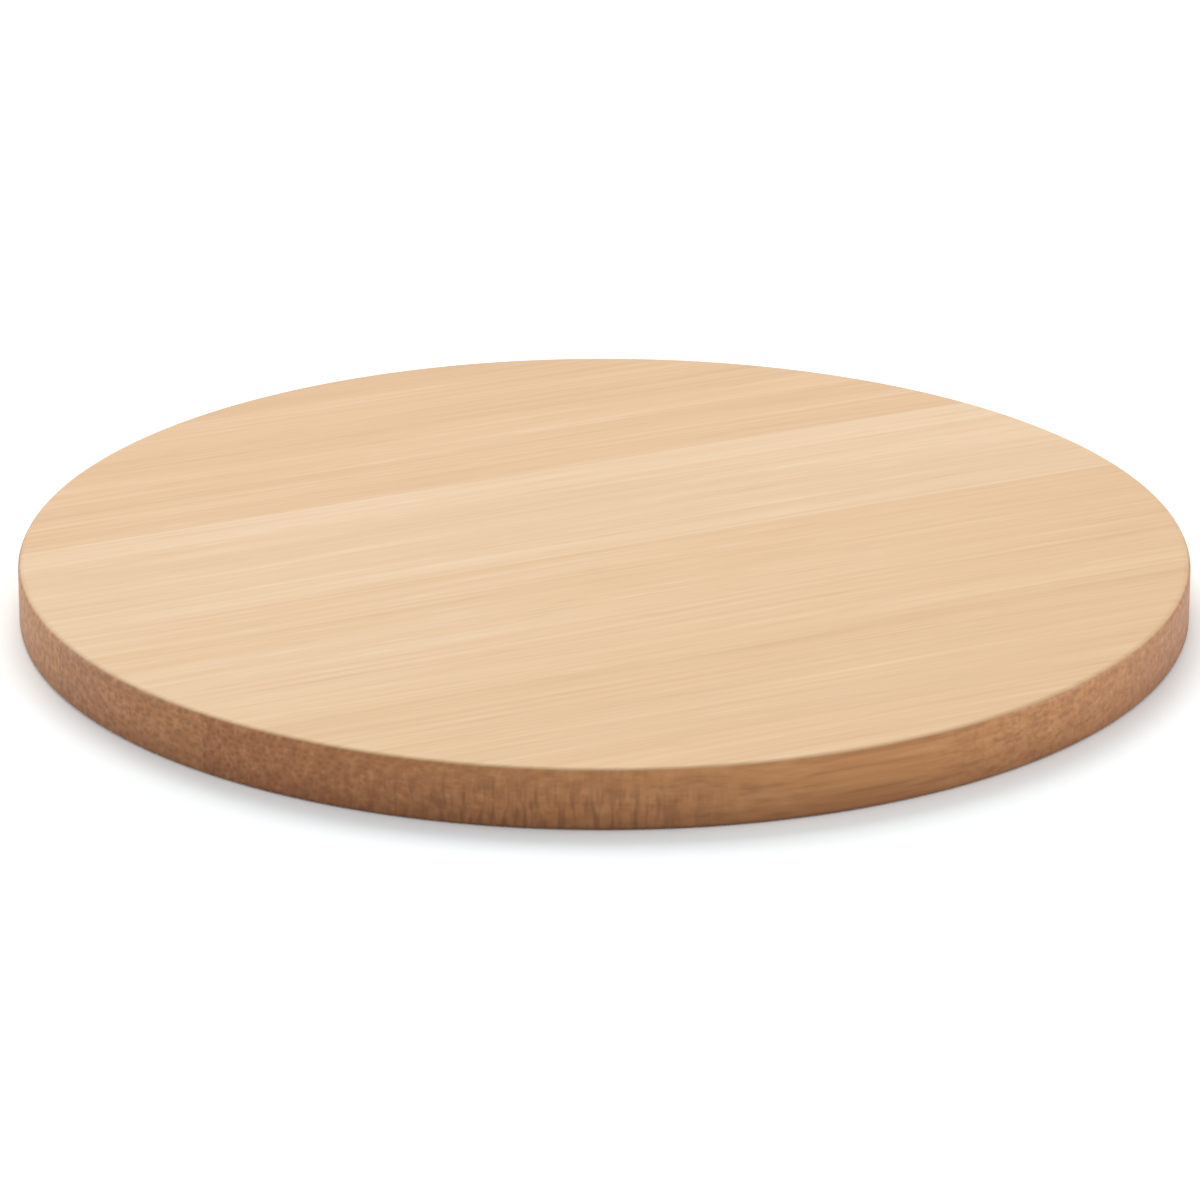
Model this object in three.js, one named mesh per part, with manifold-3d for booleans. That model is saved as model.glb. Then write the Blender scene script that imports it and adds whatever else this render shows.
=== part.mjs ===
// A small round serving board, the size of a coaster. Flat bamboo strips are glued edge to edge
// into one panel, and the panel is routed to a disc whose top and bottom edges are eased.
// Millimetres. +Z is up, +X runs along the grain, and the origin is the centre of the underside.

import * as THREE from "three";
import { mergeVertices } from "three/addons/utils/BufferGeometryUtils.js";
import Module from "manifold-3d";

const wasm = await Module();
wasm.setup();

// The finished disc
const BOARD_DIAMETER = 95;
const BOARD_THICKNESS = 5;
const TOP_EDGE_RADIUS = 0.5;
const BOTTOM_EDGE_RADIUS = 0.4;

// The glued panel
const STRIP_WIDTH = 19.05;
const GLUE_THICKNESS = 0.15;
const MIDDLE_SEAM_OFFSET = -0.4; // where the seam nearest the centre lies, across the grain

// How finely the round stretches are drawn
const RIM_STEPS = 180;
const EDGE_STEPS = 4;

// From the near strip to the far one, then round again
const BAMBOO_TINTS = ["#e4bc8e", "#e3bd8f", "#e6c093", "#e9c79e", "#e3bc8f", "#e1ba8d"];
const BAMBOO_ROUGHNESS = 0.5;
const GLUE_TINT = "#dcb383";
const GLUE_ROUGHNESS = 0.45;

const boardRadius = BOARD_DIAMETER / 2;
const seamPitch = STRIP_WIDTH + GLUE_THICKNESS;

// A closed geometry as a solid that can be cut.
function solidFrom(geometry) {
  const bare = geometry.clone();
  bare.deleteAttribute("normal");
  bare.deleteAttribute("uv");
  const merged = mergeVertices(bare);
  return new wasm.Manifold(
    new wasm.Mesh({
      numProp: 3,
      vertProperties: merged.attributes.position.array,
      triVerts: new Uint32Array(merged.index.array),
    }),
  );
}

// A solid as a geometry that a mesh can show.
function geometryFrom(solid) {
  const { vertProperties, triVerts } = solid.getMesh();
  const geometry = new THREE.BufferGeometry();
  geometry.setAttribute("position", new THREE.BufferAttribute(vertProperties, 3));
  geometry.setIndex(new THREE.BufferAttribute(triVerts, 1));
  geometry.computeVertexNormals();
  return geometry;
}

// Half the disc's section, from the centre of the underside round the eased rim to the centre of the top.
function discSection() {
  const bottomBend = boardRadius - BOTTOM_EDGE_RADIUS;
  const topBend = boardRadius - TOP_EDGE_RADIUS;
  const section = new THREE.Path();
  section.moveTo(0, 0);
  section.lineTo(bottomBend, 0);
  section.absarc(bottomBend, BOTTOM_EDGE_RADIUS, BOTTOM_EDGE_RADIUS, -Math.PI / 2, 0);
  section.lineTo(boardRadius, BOARD_THICKNESS - TOP_EDGE_RADIUS);
  section.absarc(topBend, BOARD_THICKNESS - TOP_EDGE_RADIUS, TOP_EDGE_RADIUS, 0, Math.PI / 2);
  section.lineTo(0, BOARD_THICKNESS);
  return section.getPoints(EDGE_STEPS);
}

// The whole disc that the router leaves, turned about +Z.
function routedDisc() {
  const turned = new THREE.LatheGeometry(discSection(), RIM_STEPS);
  turned.rotateX(Math.PI / 2);
  return solidFrom(turned);
}

// What the router leaves of a blank that fills the panel from one place to another across the grain.
// The blank is sawn twice as long and twice as thick as the board, so only its two glued edges show.
function routedPiece(disc, fromY, toY) {
  const blank = new THREE.BoxGeometry(2 * BOARD_DIAMETER, toY - fromY, 2 * BOARD_THICKNESS);
  blank.translate(0, (fromY + toY) / 2, BOARD_THICKNESS / 2);
  return geometryFrom(disc.intersect(solidFrom(blank)));
}

// The middle of each glue line, from the near rim to the far rim. A seam that would run out
// in the eased edge is left out, and the strip beside it reaches the rim.
function seamPlaces() {
  const reach = boardRadius - Math.max(TOP_EDGE_RADIUS, BOTTOM_EDGE_RADIUS) - GLUE_THICKNESS / 2;
  const first = Math.ceil((-reach - MIDDLE_SEAM_OFFSET) / seamPitch);
  const last = Math.floor((reach - MIDDLE_SEAM_OFFSET) / seamPitch);
  const places = [];
  for (let k = first; k <= last; k++) {
    places.push(MIDDLE_SEAM_OFFSET + k * seamPitch);
  }
  return places;
}

function bambooStrips(disc, seams) {
  const strips = new THREE.Group();
  const halfGlue = GLUE_THICKNESS / 2;
  const nearEdges = [-BOARD_DIAMETER, ...seams.map((y) => y + halfGlue)];
  const farEdges = [...seams.map((y) => y - halfGlue), BOARD_DIAMETER];
  nearEdges.forEach((near, i) => {
    const bamboo = new THREE.MeshStandardMaterial({
      color: BAMBOO_TINTS[i % BAMBOO_TINTS.length],
      roughness: BAMBOO_ROUGHNESS,
      metalness: 0,
    });
    const strip = new THREE.Mesh(routedPiece(disc, near, farEdges[i]), bamboo);
    strip.name = `bamboo_strip_${i + 1}`;
    strips.add(strip);
  });
  return strips;
}

function glueLines(disc, seams) {
  const lines = new THREE.Group();
  const glue = new THREE.MeshStandardMaterial({ color: GLUE_TINT, roughness: GLUE_ROUGHNESS, metalness: 0 });
  seams.forEach((y, i) => {
    const film = routedPiece(disc, y - GLUE_THICKNESS / 2, y + GLUE_THICKNESS / 2);
    const line = new THREE.Mesh(film, glue);
    line.name = `glue_line_${i + 1}`;
    lines.add(line);
  });
  return lines;
}

const disc = routedDisc();
const seams = seamPlaces();
const board = new THREE.Group();
board.add(bambooStrips(disc, seams), glueLines(disc, seams));

export default board;
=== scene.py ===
import math
from collections import namedtuple

import bmesh
import bpy
from mathutils import Color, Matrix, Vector


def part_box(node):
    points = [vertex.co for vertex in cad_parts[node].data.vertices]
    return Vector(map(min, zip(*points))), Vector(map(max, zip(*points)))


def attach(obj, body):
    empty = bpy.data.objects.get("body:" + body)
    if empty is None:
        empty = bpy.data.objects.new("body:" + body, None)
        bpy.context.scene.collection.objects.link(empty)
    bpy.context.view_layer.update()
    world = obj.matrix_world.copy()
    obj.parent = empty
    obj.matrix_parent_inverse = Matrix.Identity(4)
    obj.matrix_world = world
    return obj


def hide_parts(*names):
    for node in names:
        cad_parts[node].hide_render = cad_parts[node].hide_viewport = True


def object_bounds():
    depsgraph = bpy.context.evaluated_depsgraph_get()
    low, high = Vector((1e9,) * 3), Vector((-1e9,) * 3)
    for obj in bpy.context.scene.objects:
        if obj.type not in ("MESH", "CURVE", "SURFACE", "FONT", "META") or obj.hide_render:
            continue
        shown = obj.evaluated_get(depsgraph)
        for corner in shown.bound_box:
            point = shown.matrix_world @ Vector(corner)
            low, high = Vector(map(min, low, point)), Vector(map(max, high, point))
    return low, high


# The looks of a small round bamboo board: strips glued edge to edge and routed to a disc.
# Everything is in metres in the frame of the part: +Z up, +X along the grain, the underside on the floor.
# The patterns of the wood are in millimetres.

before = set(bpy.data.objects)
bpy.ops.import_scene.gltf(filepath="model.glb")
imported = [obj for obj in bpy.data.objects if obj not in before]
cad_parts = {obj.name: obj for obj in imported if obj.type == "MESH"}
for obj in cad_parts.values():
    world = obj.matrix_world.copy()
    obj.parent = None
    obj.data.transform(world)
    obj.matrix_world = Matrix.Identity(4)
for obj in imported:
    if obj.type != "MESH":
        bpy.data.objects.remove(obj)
cad_low, cad_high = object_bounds()

# Sizes that the frame gives
MM = 0.001
board_radius = cad_high.x
thickness = cad_high.z
rim_mm = board_radius / MM
thickness_mm = thickness / MM

# How finely the disc is drawn
RIM_STEPS = 720
EDGE_STEPS = 8
FLAT_RING = 0.15 * MM  # a ring of the flat faces beside each eased edge, which keeps them flat in the light
SAME_HEIGHT = 0.001 * MM  # a point of the frame this close to a height lies at it
SHARP_ANGLE = math.radians(35)

# A band along the grain lies from near to far across it. Its tone is how dark it is, or how pale if below
# zero. Where it doesn't run from rim to rim, it goes from start to end along the grain.
Band = namedtuple("Band", "near far tone start end", defaults=(None, None))
left_end = -rim_mm
right_end = rim_mm

# Each strip: its slot in the record, its tint, the tint of its end grain, how many fibre bundles it has to
# the millimetre, how much darker it is at the right end than in the middle, partly its own drift in tone and
# partly painted shading of the light across the face, and its bands
Strip = namedtuple("Strip", "slot tint end_tint bundles_per_mm lean bands")
STRIPS = {
    "bamboo_strip_1": Strip(
        slot="bamboo_warm",
        tint="#e6be8f",
        end_tint="#b26b3b",
        bundles_per_mm=2.2,
        lean=0.07,
        bands=[Band(-40.2, -39.0, 0.09), Band(-46.0, -43.8, 0.13)],
    ),
    "bamboo_strip_2": Strip(
        slot="bamboo_warm",
        tint="#e7c192",
        end_tint="#ab693b",
        bundles_per_mm=1.7,
        lean=0.02,
        bands=[
            Band(-39.0, -22.9, 0.1),
            Band(-26.0, -24.4, 0.12),
            Band(-35.2, -34.0, -0.06, left_end, 2),
            Band(-35.8, -34.4, 0.08, 18, right_end),
            Band(-30.0, -27.4, -0.07, 26, right_end),
        ],
    ),
    "bamboo_strip_3": Strip(
        slot="bamboo_honey",
        tint="#e6bf91",
        end_tint="#b87b48",
        bundles_per_mm=1.05,
        lean=0.08,
        bands=[
            Band(-2.0, -1.0, 0.05),
            Band(-7.2, -6.0, 0.05),
            Band(-14.6, -10.6, -0.06, left_end, 0),
            Band(-4.2, -3.2, -0.03),
        ],
    ),
    "bamboo_strip_4": Strip(
        slot="bamboo_pale",
        tint="#e8c499",
        end_tint="#bf8046",
        bundles_per_mm=0.9,
        lean=-0.03,
        bands=[
            Band(14.8, 19.0, -0.1),
            Band(9.4, 12.0, -0.08, 16, right_end),
            Band(0.4, 1.8, -0.13, left_end, 24),
            Band(-0.4, 7.0, 0.05, 26, right_end),
        ],
    ),
    "bamboo_strip_5": Strip(
        slot="bamboo_honey",
        tint="#e5bd8f",
        end_tint="#b27038",
        bundles_per_mm=1.7,
        lean=0.03,
        bands=[
            Band(19.4, 21.0, 0.08),
            Band(19.2, 20.8, 0.07, left_end, -16),
            Band(25.2, 26.9, 0.07),
            Band(25.0, 27.0, 0.08, left_end, 4),
            Band(31.8, 37.5, 0.1),
            Band(34.6, 38.2, 0.08, 24, right_end),
            Band(28.2, 29.8, -0.03),
        ],
    ),
    "bamboo_strip_6": Strip(
        slot="bamboo_honey",
        tint="#e4bc8e",
        end_tint="#ae6a38",
        bundles_per_mm=2.2,
        lean=0.06,
        # Both of these bands darken the face up to the far rim
        bands=[Band(38.3, rim_mm, 0.05), Band(42.2, rim_mm, 0.1)],
    ),
}
GLUE_LINES = sorted(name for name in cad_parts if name.startswith("glue_line"))

# Tones of the bamboo and the glue, as they look on screen
FULL_CHANNEL = 255
FIBRE_BROWN = "#ba8650"
PITH_CREAM = "#fff3dd"
EDGE_ALONG_GRAIN = "#d6955c"
EDGE_PORE = "#5c2b12"
EDGE_PITH = "#e6ab74"
EDGE_SKIN_AND_SHADE = "#6c3817"
GLUE_TINT = "#e4bd8e"
GLUE_EDGE_TINT = "#a4673a"

# Patterns of the grain: repeats to the millimetre along it, across it and upward
WANDER_REPEATS = (0.02, 0.08, 0.08)
FIBRE_REPEATS = (0.03, 1.8, 1.8)
STREAK_REPEATS = (0.035, 0.55, 0.5)
DASH_REPEATS = (0.14, 1.4, 1.4)
FADE_REPEATS = (0.05, 0.3, 0.0)
MOTTLE_REPEATS = (0.05, 1.5, 1.5)
ROUGH_REPEATS = (0.4, 2.6, 2.6)
WANDER = 1.2  # how far the grain wanders from side to side
SEED_SHIFT = (7.3, 3.1)  # how far along and across a pattern each next piece is taken from it

# How much detail a pattern has, and how uneven it is
SOFT = 1.0
PLAIN = 2.0
FINE = 3.0
UNEVENNESS = 0.55
CELL_RANDOMNESS = 0.9

# How strongly each pattern darkens a sanded face. A pair of limits is where a pattern starts to show and
# where it shows in full, here and below
FIBRE_TONE = 0.48
STREAK_TONE = 0.36
DARK_DASHES = (0.6, 0.75)
PALE_DASHES = (0.4, 0.25)
DASH_TONE = 0.1
BUNDLE_TONE = 0.05
TONE_TO_BROWN = (0.0, 1.0)
TONE_TO_CREAM = (0.0, -1.0)

# The bands: how soft their sides are and over how far their ends fade, and their strength where they are
# faintest and how much stronger they can get
BAND_SOFTNESS = 0.7
BAND_FADE = 9.0
BAND_FAINTEST = 0.5
BAND_GAIN = 0.9

# The oiled finish and the relief of the fibres
SATIN_ROUGHNESS = 0.5
SATIN_SWING = 0.16
FIBRE_RELIEF = 0.6
BUNDLE_RELIEF = 0.7
RELIEF_STRENGTH = 0.6
RELIEF_DEPTH = 0.02 * MM
GLUE_CLOUDS = 0.2
GLUE_ROUGHNESS = 0.35
GLUE_ROUGHNESS_GAIN = 0.2

# The routed edge: how far inside the rim its brown starts and is full, and how much further inside it does
# so at the underside, where the brown on the lower eased edge is partly painted shade at the foot
EDGE_STARTS = 0.25
EDGE_FULL = 0.05
EDGE_FURTHER_IN = 0.15

# Fibre bundles in the end grain: how many there are to the millimetre upward and in a glue line, how ragged
# they are, their limits in a cell and how dark they get. They show by how much of the edge is end grain,
# which is 0 where the rim runs along the grain and 1 where it runs across it
BUNDLES_UPWARD = 1.8
GLUE_BUNDLES = 1.5
BUNDLE_RAGGEDNESS = 0.5
BUNDLE_LIMITS = (0.55, 0.1)
BUNDLE_DEPTH = 0.65
BUNDLES_SHOW = (0.35, 0.9)
BUNDLE_SHARE = 0.43

# Where the cutter meets the grain at a slant, by how much of the edge is end grain
SLANT_BEGINS = (0.18, 0.42)
SLANT_ENDS = (0.95, 0.6)

# Pale and dark mottling of the edge, and how much of it is lost from where the slant begins
PALE_MOTTLE = (0.5, 0.8)
PALE_MOTTLE_SHARE = 0.75
DARK_MOTTLE = (0.5, 0.2)
DARK_MOTTLE_SHARE = 0.42
MOTTLE_LOST = 0.33

# Marks of the cutter: repeats to the millimetre round the rim and upward. The tall ones are strongest low
# down, and the specks show where there is some end grain but not where it is full
TALL_MARK_REPEATS = (1.7, 0.4)
TALL_MARKS = (0.4, 0.65)
TALL_MARKS_LOW = (0.1, 0.6)
TALL_MARKS_ON_TOP = 0.25
SPECK_REPEATS = (1.6, 2.1)
SPECKS = (0.42, 0.72)
SPECKS_BEGIN = (0.05, 0.3)
SPECKS_END = (0.98, 0.75)
SPECK_STRENGTH = 0.7
MARK_SHARE = 0.42

# Darkening of the edge toward the underside, less so in the end grain: partly the culm's darker skin side
# and partly painted shade where the edge meets the floor
SKIN_AND_SHADE_SHARE = 0.62
SKIN_AND_SHADE_LOST = 0.2
SKIN_AND_SHADE_CURVE = 3.0

# The photograph's viewpoint
VIEW_AZIMUTH = math.radians(-25.4)
VIEW_ELEVATION = math.radians(20.95)
VIEW_DISTANCE = 570 * MM
LENS_MM = 209.82
SENSOR_MM = 36.0
NEAREST_SEEN = 10 * MM
AIM_RIGHT = -0.345 * MM
AIM_UP = 0.375 * MM

# The light: a cool soft sky all round, a warm softbox behind the board and two white ones low at its sides.
# For each softbox, how far it stands round from the camera, how high it stands, how wide it is, how much
# light it gives a flat white card under it, where 1 is all that shows white as white, and its tint
WHITE = (1.0, 1.0, 1.0, 1.0)
SKY_TINT = (0.96, 1.0, 1.035, 1.0)
SKY_STRENGTH = 0.525
SOFTBOX_DISTANCE = 1.1
Softbox = namedtuple("Softbox", "round_by height width level tint")
SOFTBOXES = {
    "behind": Softbox(math.radians(189), math.radians(48), 0.7, 0.31, (1.08, 0.99, 0.9)),
    "at_right": Softbox(math.radians(98), math.radians(14), 0.5, 0.062, (1.0, 1.0, 1.0)),
    "at_left": Softbox(math.radians(-112), math.radians(14), 0.5, 0.045, (1.0, 1.0, 1.0)),
}

# The floor: its colour where it is seen, which is white in the light and keeps the shadow, its colour for
# the light that it throws back, and its size and place
FLOOR_SEEN = (1.29, 1.36, 1.38, 1.0)
FLOOR_BOUNCE = (0.8, 0.8, 0.8, 1.0)
FLOOR_HALF = 3.0
FLOOR_HEIGHT = -0.02 * MM

# The sockets that a mix node uses for colours
MIX_SHARE = 0
MIX_FIRST = 6
MIX_SECOND = 7
MIX_RESULT = 2


def linear(hex_tint):
    """A colour written as it looks on screen, as the light that a shader works with."""
    screen = Color([channel / FULL_CHANNEL for channel in bytes.fromhex(hex_tint[1:])])
    return (*screen.from_srgb_to_scene_linear(), 1.0)


class Nodes:
    """Short calls that add nodes to one tree and give back the socket that the next node reads."""

    def __init__(self, tree):
        self.tree = tree

    def feed(self, socket, value):
        """Links a socket to another one, or sets it to a value."""
        if isinstance(value, bpy.types.NodeSocket):
            self.tree.links.new(value, socket)
        else:
            socket.default_value = value

    def node(self, kind, inputs=(), **settings):
        """Adds a node with those settings and feeds its inputs."""
        made = self.tree.nodes.new(kind)
        for key, value in settings.items():
            setattr(made, key, value)
        for key, value in dict(inputs).items():
            self.feed(made.inputs[key], value)
        return made

    def maths(self, operation, *values):
        made = self.node("ShaderNodeMath", operation=operation)
        for socket, value in zip(made.inputs, values):
            self.feed(socket, value)
        return made.outputs[0]

    def times(self, first, second):
        return self.maths("MULTIPLY", first, second)

    def total(self, values):
        summed = values[0]
        for value in values[1:]:
            summed = self.maths("ADD", summed, value)
        return summed

    def swing(self, pattern, size):
        """A pattern between 0 and 1 as a swing of that size about 0."""
        return self.maths("MULTIPLY_ADD", pattern, size, -size / 2)

    def ramp(self, value, low, high, kind="LINEAR"):
        """0 to 1 as the value goes from low to high, and no further."""
        made = self.node("ShaderNodeMapRange", interpolation_type=kind)
        for socket, given in zip(made.inputs, (value, low, high)):
            self.feed(socket, given)
        return made.outputs[0]

    def step(self, value, low, high):
        """0 to 1 in a soft step as the value goes from low to high."""
        return self.ramp(value, low, high, "SMOOTHSTEP")

    def noise(self, place, detail=PLAIN):
        inputs = {"Vector": place, "Scale": 1.0, "Detail": detail, "Roughness": UNEVENNESS}
        return self.node("ShaderNodeTexNoise", inputs).outputs["Fac"]

    def cells(self, place):
        inputs = {"Vector": place, "Scale": 1.0, "Randomness": CELL_RANDOMNESS}
        return self.node("ShaderNodeTexVoronoi", inputs, voronoi_dimensions="2D").outputs["Distance"]

    def mix(self, share, first, second):
        inputs = {MIX_SHARE: share, MIX_FIRST: first, MIX_SECOND: second}
        return self.node("ShaderNodeMix", inputs, data_type="RGBA").outputs[MIX_RESULT]

    def seen(self):
        """1 where the camera or a reflection looks, and 0 where light is gathered."""
        path = self.node("ShaderNodeLightPath").outputs
        return self.maths("MAXIMUM", path["Is Camera Ray"], path["Is Glossy Ray"])


class Shader(Nodes):
    """The nodes of a new material."""

    def __init__(self, name):
        self.material = bpy.data.materials.new(name)
        self.material.use_nodes = True
        super().__init__(self.material.node_tree)
        self.surface = self.tree.nodes["Principled BSDF"]
        self.output = self.tree.nodes["Material Output"]


class Wood(Shader):
    """A shader that knows where a point lies in the bamboo, in millimetres."""

    def __init__(self, name, seed):
        super().__init__(name)
        self.seed = seed
        place = self.node("ShaderNodeTexCoord").outputs["Object"]
        scaled = self.node("ShaderNodeVectorMath", operation="SCALE")
        self.feed(scaled.inputs["Vector"], place)
        self.feed(scaled.inputs["Scale"], 1 / MM)
        split = self.node("ShaderNodeSeparateXYZ", {"Vector": scaled.outputs[0]})
        self.along, self.across, self.height = split.outputs
        self.grain = self.across
        wander = self.noise(self.stretched(WANDER_REPEATS), SOFT)
        self.grain = self.maths("ADD", self.across, self.swing(wander, WANDER))
        squares = self.maths("ADD", self.times(self.along, self.along), self.times(self.across, self.across))
        radius = self.maths("SQRT", squares)
        # The culm's outer side lies down: 0 at the serving face and 1 at the underside, where the edge also
        # gets painted shade
        self.outer = self.ramp(self.height, thickness_mm, 0.0)
        # At the underside the brown reaches further in, partly as painted shade at the foot
        reach = self.maths("MULTIPLY_ADD", self.outer, EDGE_FURTHER_IN, radius)
        self.edge = self.step(reach, rim_mm - EDGE_STARTS, rim_mm - EDGE_FULL)
        self.end_grain = self.maths("DIVIDE", self.maths("ABSOLUTE", self.along), radius)

    def stretched(self, repeats):
        """A place for a pattern with that many repeats to the millimetre along, across and up."""
        x = self.maths("MULTIPLY_ADD", self.along, repeats[0], SEED_SHIFT[0] * self.seed)
        y = self.maths("MULTIPLY_ADD", self.grain, repeats[1], SEED_SHIFT[1] * self.seed)
        z = self.times(self.height, repeats[2])
        return self.node("ShaderNodeCombineXYZ", {"X": x, "Y": y, "Z": z}).outputs[0]

    def round_rim(self, repeats):
        """A place for a pattern with that many repeats to the millimetre round the rim and up."""
        turn = self.maths("ARCTAN2", self.across, self.along)
        x = self.maths("MULTIPLY_ADD", turn, rim_mm * repeats[0], SEED_SHIFT[1] * self.seed)
        y = self.times(self.height, repeats[1])
        return self.node("ShaderNodeCombineXYZ", {"X": x, "Y": y}).outputs[0]

    def bundles(self, per_mm):
        """The fibre bundles in the section of the strip, 0 in the pith and darkest in a bundle."""
        x = self.maths("MULTIPLY_ADD", self.grain, per_mm, SEED_SHIFT[1] * self.seed)
        y = self.times(self.height, BUNDLES_UPWARD)
        cells = self.cells(self.node("ShaderNodeCombineXYZ", {"X": x, "Y": y}).outputs[0])
        ragged = self.swing(self.noise(self.stretched(ROUGH_REPEATS)), BUNDLE_RAGGEDNESS)
        return self.times(self.step(self.maths("ADD", cells, ragged), *BUNDLE_LIMITS), BUNDLE_DEPTH)

    def tall_marks(self):
        """Upright marks, strongest low down, where the cutter goes against the grain."""
        pattern = self.step(self.noise(self.round_rim(TALL_MARK_REPEATS), SOFT), *TALL_MARKS)
        down = self.step(self.outer, *TALL_MARKS_LOW)
        strength = self.maths("MULTIPLY_ADD", down, 1 - TALL_MARKS_ON_TOP, TALL_MARKS_ON_TOP)
        slant = self.times(self.step(self.end_grain, *SLANT_BEGINS), self.step(self.end_grain, *SLANT_ENDS))
        return self.times(self.times(pattern, strength), slant)

    def specks(self):
        """Small marks where the cutter goes with the grain."""
        pattern = self.step(self.noise(self.round_rim(SPECK_REPEATS)), *SPECKS)
        shown = self.times(self.step(self.end_grain, *SPECKS_BEGIN), self.step(self.end_grain, *SPECKS_END))
        return self.times(self.times(pattern, SPECK_STRENGTH), shown)

    def cutter_marks(self):
        """The marks that the cutter leaves, which change where it starts to meet the grain the other way."""
        against = self.maths("GREATER_THAN", self.times(self.along, self.across), 0.0)
        follows = self.maths("SUBTRACT", 1.0, against)
        return self.maths("ADD", self.times(self.tall_marks(), against), self.times(self.specks(), follows))

    def band(self, band):
        """A darker or paler band along the grain that comes and goes a little."""
        middle = (band.near + band.far) / 2
        half = (band.far - band.near) / 2
        away = self.maths("ABSOLUTE", self.maths("SUBTRACT", self.grain, middle))
        inside = self.step(away, half + BAND_SOFTNESS, half - min(BAND_SOFTNESS, half))
        clouds = self.noise(self.stretched(FADE_REPEATS))
        strength = self.maths("MULTIPLY_ADD", clouds, BAND_GAIN, BAND_FAINTEST)
        shown = self.times(self.times(inside, strength), band.tone)
        if band.start is None:
            return shown
        begun = self.step(self.along, band.start - BAND_FADE, band.start + BAND_FADE)
        ended = self.step(self.along, band.end + BAND_FADE, band.end - BAND_FADE)
        return self.times(shown, self.times(begun, ended))


def face_tone(wood, fibres, bundles, strip):
    """How dark or pale each place of a sanded face is."""
    streaks = wood.noise(wood.stretched(STREAK_REPEATS))
    dashes = wood.noise(wood.stretched(DASH_REPEATS), SOFT)
    return wood.total(
        [
            # Darker toward the right end: partly the strip's drift in tone, partly painted shading of the
            # light across the face
            wood.times(wood.along, strip.lean / rim_mm),
            wood.swing(fibres, FIBRE_TONE),
            wood.swing(streaks, STREAK_TONE),
            wood.times(wood.step(dashes, *DARK_DASHES), DASH_TONE),
            wood.times(wood.step(dashes, *PALE_DASHES), -DASH_TONE),
            wood.times(bundles, BUNDLE_TONE),
            *[wood.band(band) for band in strip.bands],
        ]
    )


def mottled(wood, ground):
    """The ground colour of the routed edge with pale and dark mottling."""
    mottle = wood.noise(wood.stretched(MOTTLE_REPEATS))
    kept = wood.maths("MULTIPLY_ADD", wood.step(wood.end_grain, *SLANT_BEGINS), -MOTTLE_LOST, 1.0)
    pale = wood.times(wood.ramp(mottle, *PALE_MOTTLE), wood.times(kept, PALE_MOTTLE_SHARE))
    dark = wood.times(wood.ramp(mottle, *DARK_MOTTLE), wood.times(kept, DARK_MOTTLE_SHARE))
    return wood.mix(dark, wood.mix(pale, ground, linear(EDGE_PITH)), linear(EDGE_PORE))


def edge_colour(wood, bundles, end_tint):
    """The routed edge: brown end grain with dark bundles, streaks along the grain, and painted shade toward
    the underside.
    """
    ends = wood.times(wood.end_grain, wood.end_grain)
    ground = wood.mix(ends, linear(EDGE_ALONG_GRAIN), linear(end_tint))
    bundle_share = wood.times(wood.step(wood.end_grain, *BUNDLES_SHOW), BUNDLE_SHARE)
    dark_bundles = wood.times(bundles, bundle_share)
    dark_marks = wood.times(wood.cutter_marks(), MARK_SHARE)
    marked = wood.maths("MAXIMUM", dark_bundles, dark_marks)
    pored = wood.mix(marked, mottled(wood, ground), linear(EDGE_PORE))
    # Painted shade: the edge darkens toward the underside, partly the culm's darker skin and partly shade at
    # the floor
    skin_and_shade_share = wood.maths("MULTIPLY_ADD", wood.end_grain, -SKIN_AND_SHADE_LOST, SKIN_AND_SHADE_SHARE)
    skin_and_shade = wood.times(wood.maths("POWER", wood.outer, SKIN_AND_SHADE_CURVE), skin_and_shade_share)
    return wood.mix(skin_and_shade, pored, linear(EDGE_SKIN_AND_SHADE))


def bamboo(name, strip, seed):
    """Sanded bamboo: fine straight fibres on the faces, brown end grain with bundles on the routed edge."""
    wood = Wood(name, seed)
    bundles = wood.bundles(strip.bundles_per_mm)
    fibres = wood.noise(wood.stretched(FIBRE_REPEATS), FINE)
    tone = face_tone(wood, fibres, bundles, strip)
    darker = wood.mix(wood.ramp(tone, *TONE_TO_BROWN), linear(strip.tint), linear(FIBRE_BROWN))
    face = wood.mix(wood.ramp(tone, *TONE_TO_CREAM), darker, linear(PITH_CREAM))
    routed = edge_colour(wood, bundles, strip.end_tint)
    wood.feed(wood.surface.inputs["Base Color"], wood.mix(wood.edge, face, routed))
    roughness = wood.maths("ADD", SATIN_ROUGHNESS, wood.swing(fibres, SATIN_SWING))
    wood.feed(wood.surface.inputs["Roughness"], roughness)
    relief = wood.maths("SUBTRACT", wood.swing(fibres, FIBRE_RELIEF), wood.times(bundles, BUNDLE_RELIEF))
    bump_inputs = {"Strength": RELIEF_STRENGTH, "Distance": RELIEF_DEPTH, "Height": relief}
    bump = wood.node("ShaderNodeBump", bump_inputs)
    wood.feed(wood.surface.inputs["Normal"], bump.outputs[0])
    return wood.material


def glue(name, seed):
    """A cured glue film: an amber hair line that darkens on the routed edge."""
    wood = Wood(name, seed)
    clouds = wood.noise(wood.stretched(ROUGH_REPEATS))
    face = wood.mix(wood.times(clouds, GLUE_CLOUDS), linear(GLUE_TINT), linear(FIBRE_BROWN))
    routed = edge_colour(wood, wood.bundles(GLUE_BUNDLES), GLUE_EDGE_TINT)
    wood.feed(wood.surface.inputs["Base Color"], wood.mix(wood.edge, face, routed))
    roughness = wood.maths("MULTIPLY_ADD", clouds, GLUE_ROUGHNESS_GAIN, GLUE_ROUGHNESS)
    wood.feed(wood.surface.inputs["Roughness"], roughness)
    return wood.material


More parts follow.
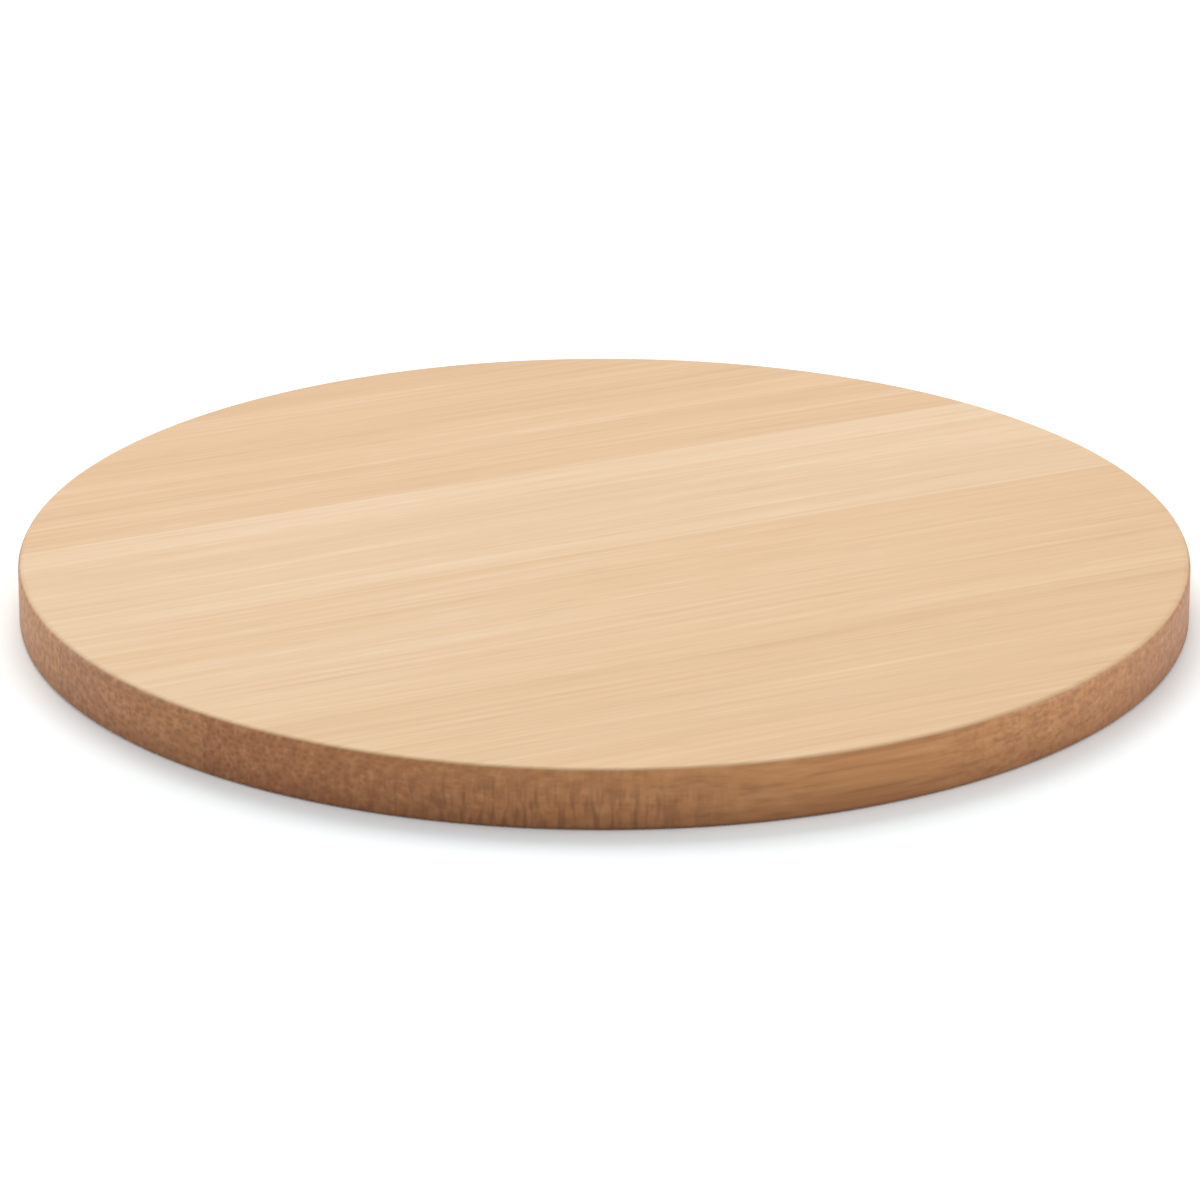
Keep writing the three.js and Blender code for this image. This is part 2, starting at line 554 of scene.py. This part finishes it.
def flat_radius(height):
    """How far the flat face of the frame at that height reaches."""
    reach = 0.0
    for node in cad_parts.values():
        for vertex in node.data.vertices:
            if abs(vertex.co.z - height) < SAME_HEIGHT:
                reach = max(reach, vertex.co.xy.length)
    return reach


def eased_edge(flat, height, face):
    """Points from the flat at that height over its eased edge to the wall. Face is 1 on top, -1 below."""
    ease = board_radius - flat
    points = [(flat - FLAT_RING, height)]
    for step in range(EDGE_STEPS + 1):
        turn = math.pi / 2 * step / EDGE_STEPS
        points.append((flat + ease * math.sin(turn), height - face * ease * (1 - math.cos(turn))))
    return points


def disc():
    """The whole routed disc as a closed mesh."""
    bottom = eased_edge(flat_radius(0.0), 0.0, -1)
    top = eased_edge(flat_radius(thickness), thickness, 1)
    made = bmesh.new()
    rings = []
    for radius, height in bottom + top[::-1]:
        ring = []
        for step in range(RIM_STEPS):
            turn = 2 * math.pi * step / RIM_STEPS
            ring.append(made.verts.new((radius * math.cos(turn), radius * math.sin(turn), height)))
        rings.append(ring)
    for lower, upper in zip(rings, rings[1:]):
        for step in range(RIM_STEPS):
            after = (step + 1) % RIM_STEPS
            made.faces.new((lower[step], lower[after], upper[after], upper[step]))
    made.faces.new(rings[0][::-1])
    made.faces.new(rings[-1])
    return made


def cut_off(shape, place, side):
    """Saws the shape across at that place and keeps the part on the given side, closed again."""
    everything = shape.verts[:] + shape.edges[:] + shape.faces[:]
    sawn = bmesh.ops.bisect_plane(
        shape, geom=everything, plane_co=(0, place, 0), plane_no=(0, -side, 0), clear_outer=True
    )
    rim = [e for e in sawn["geom_cut"] if isinstance(e, bmesh.types.BMEdge)]
    if rim:
        bmesh.ops.edgeloop_fill(shape, edges=rim)


def routed_piece(node):
    """What the router leaves of the strip or film that stands at that node of the frame."""
    low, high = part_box(node)
    shape = disc()
    cut_off(shape, low.y, 1)
    cut_off(shape, high.y, -1)
    bmesh.ops.recalc_face_normals(shape, faces=shape.faces)
    mesh = bpy.data.meshes.new(node + "_finish")
    shape.to_mesh(mesh)
    shape.free()
    mesh.shade_smooth()
    mesh.set_sharp_from_angle(angle=SHARP_ANGLE)
    piece = bpy.data.objects.new(node + "_finish", mesh)
    bpy.context.scene.collection.objects.link(piece)
    return piece


def fit(piece, node, material):
    """Puts a piece in the place of its node."""
    piece.data.materials.append(material)
    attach(piece, "root")
    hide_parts(node)


def make_strips():
    """A finished strip for each strip of the frame."""
    for seed, (node, strip) in enumerate(STRIPS.items(), start=1):
        fit(routed_piece(node), node, bamboo(node, strip, seed))


def make_glue_lines():
    """A finished film for each glue line of the frame."""
    for seed, node in enumerate(GLUE_LINES, start=1):
        fit(routed_piece(node), node, glue(node, seed))


def make_floor():
    """A white floor, just under the board, that keeps the board's shadow."""
    mesh = bpy.data.meshes.new("floor")
    signs = [(-1, -1), (1, -1), (1, 1), (-1, 1)]
    corners = [(x * FLOOR_HALF, y * FLOOR_HALF, FLOOR_HEIGHT) for x, y in signs]
    mesh.from_pydata(corners, [], [(0, 1, 2, 3)])
    floor = bpy.data.objects.new("floor", mesh)
    bpy.context.scene.collection.objects.link(floor)
    shader = Shader("floor_white")
    tint = shader.mix(shader.seen(), FLOOR_BOUNCE, FLOOR_SEEN)
    matt = shader.node("ShaderNodeBsdfDiffuse", {"Color": tint})
    shader.feed(shader.output.inputs["Surface"], matt.outputs[0])
    mesh.materials.append(shader.material)


def make_world():
    """A white room: plain white where it is seen or mirrored, and a soft sky as light."""
    world = bpy.data.worlds.new("studio")
    world.use_nodes = True
    room = Nodes(world.node_tree)
    sky = room.tree.nodes["Background"]
    room.feed(sky.inputs["Color"], SKY_TINT)
    room.feed(sky.inputs["Strength"], SKY_STRENGTH)
    white = room.node("ShaderNodeBackground", {"Color": WHITE})
    either = room.node("ShaderNodeMixShader", {0: room.seen(), 1: sky.outputs[0], 2: white.outputs[0]})
    room.feed(room.tree.nodes["World Output"].inputs["Surface"], either.outputs[0])
    bpy.context.scene.world = world


def toward(azimuth, elevation):
    """The direction from the board to something that stands that far round from -Y and that high."""
    flat = math.cos(elevation)
    return Vector((math.sin(azimuth) * flat, -math.cos(azimuth) * flat, math.sin(elevation)))


def make_softboxes():
    """Square lamps that face the board."""
    # A lamp shows a white card square to it at its watts over (pi times its distance) squared
    watts_for_white = (math.pi * SOFTBOX_DISTANCE) ** 2
    for name, softbox in SOFTBOXES.items():
        data = bpy.data.lights.new(name, "AREA")
        data.size = softbox.width
        data.energy = softbox.level * watts_for_white / math.sin(softbox.height)
        data.color = softbox.tint
        lamp = bpy.data.objects.new(name, data)
        direction = toward(VIEW_AZIMUTH + softbox.round_by, softbox.height)
        lamp.location = direction * SOFTBOX_DISTANCE
        lamp.rotation_euler = (-direction).to_track_quat("-Z", "Y").to_euler()
        bpy.context.scene.collection.objects.link(lamp)


def make_camera():
    """The camera at the photograph's viewpoint."""
    data = bpy.data.cameras.new("camera")
    data.lens = LENS_MM
    data.sensor_width = SENSOR_MM
    data.clip_start = NEAREST_SEEN
    back = toward(VIEW_AZIMUTH, VIEW_ELEVATION)
    turn = (-back).to_track_quat("-Z", "Y")
    right = turn @ Vector((1, 0, 0))
    up = turn @ Vector((0, 1, 0))
    camera = bpy.data.objects.new("camera", data)
    camera.location = back * VIEW_DISTANCE + right * AIM_RIGHT + up * AIM_UP
    camera.rotation_euler = turn.to_euler()
    bpy.context.scene.collection.objects.link(camera)
    bpy.context.scene.camera = camera


make_camera()
make_strips()
make_glue_lines()
make_floor()
make_world()
make_softboxes()
bpy.context.scene.view_settings.view_transform = "Standard"
